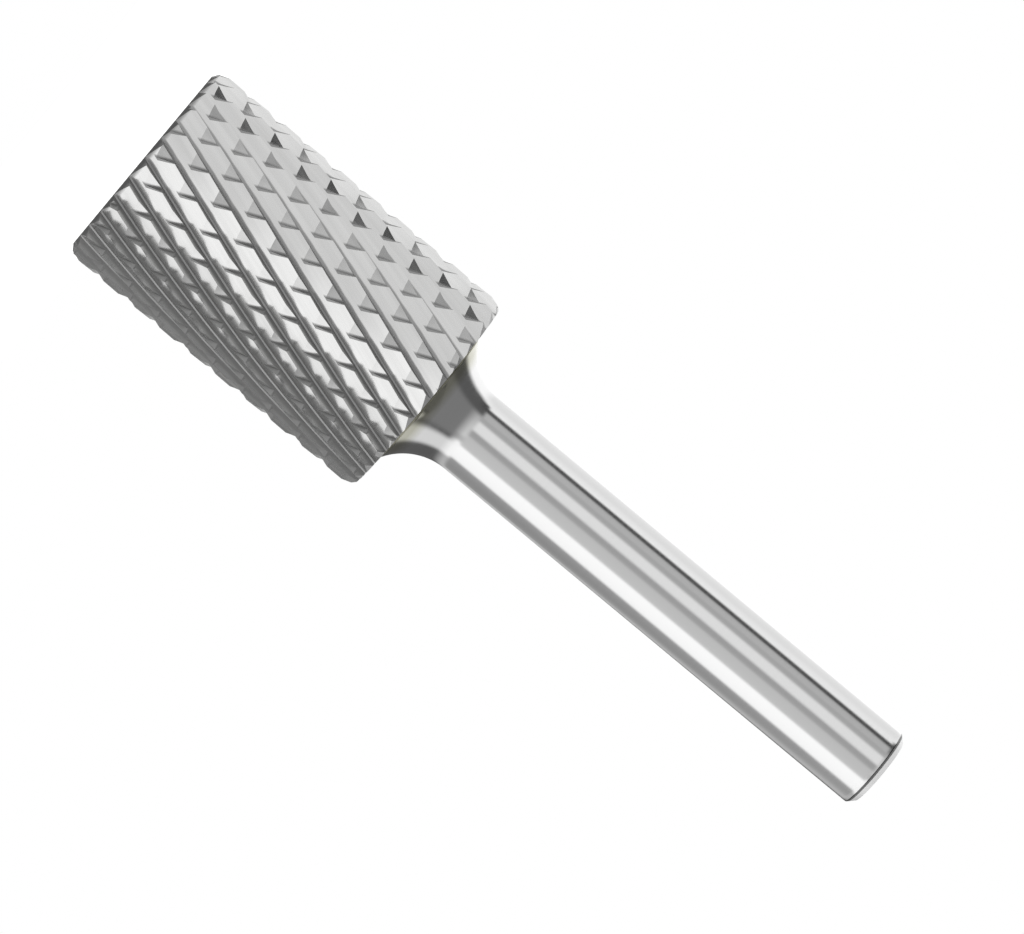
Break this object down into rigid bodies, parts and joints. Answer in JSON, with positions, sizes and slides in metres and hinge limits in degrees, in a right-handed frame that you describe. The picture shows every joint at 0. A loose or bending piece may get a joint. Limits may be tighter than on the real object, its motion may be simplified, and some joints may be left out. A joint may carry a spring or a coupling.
{
  "type": "carbide burr",
  "caption": "Cylindrical double-cut rotary burr: a cross-cut carbide head brazed to a plain steel shank, for a die grinder's collet.",
  "frame": {"origin": "centre of the head's flat front face, on which the burr stands", "axes": "+Z along the burr's axis, from the head's front face towards the shank's free end; +X through the crest of one tooth at the front face"},
  "size_m": [0.016, 0.016, 0.065],
  "materials": {
    "carbide": "ground tungsten carbide, satin",
    "braze": "dull brazing alloy",
    "shank_steel": "ground and polished steel"
  },
  "bodies": {
    "root": {"carbide_head": "carbide", "braze_joint": "braze", "steel_shank": "shank_steel"}
  },
  "joints": []
}
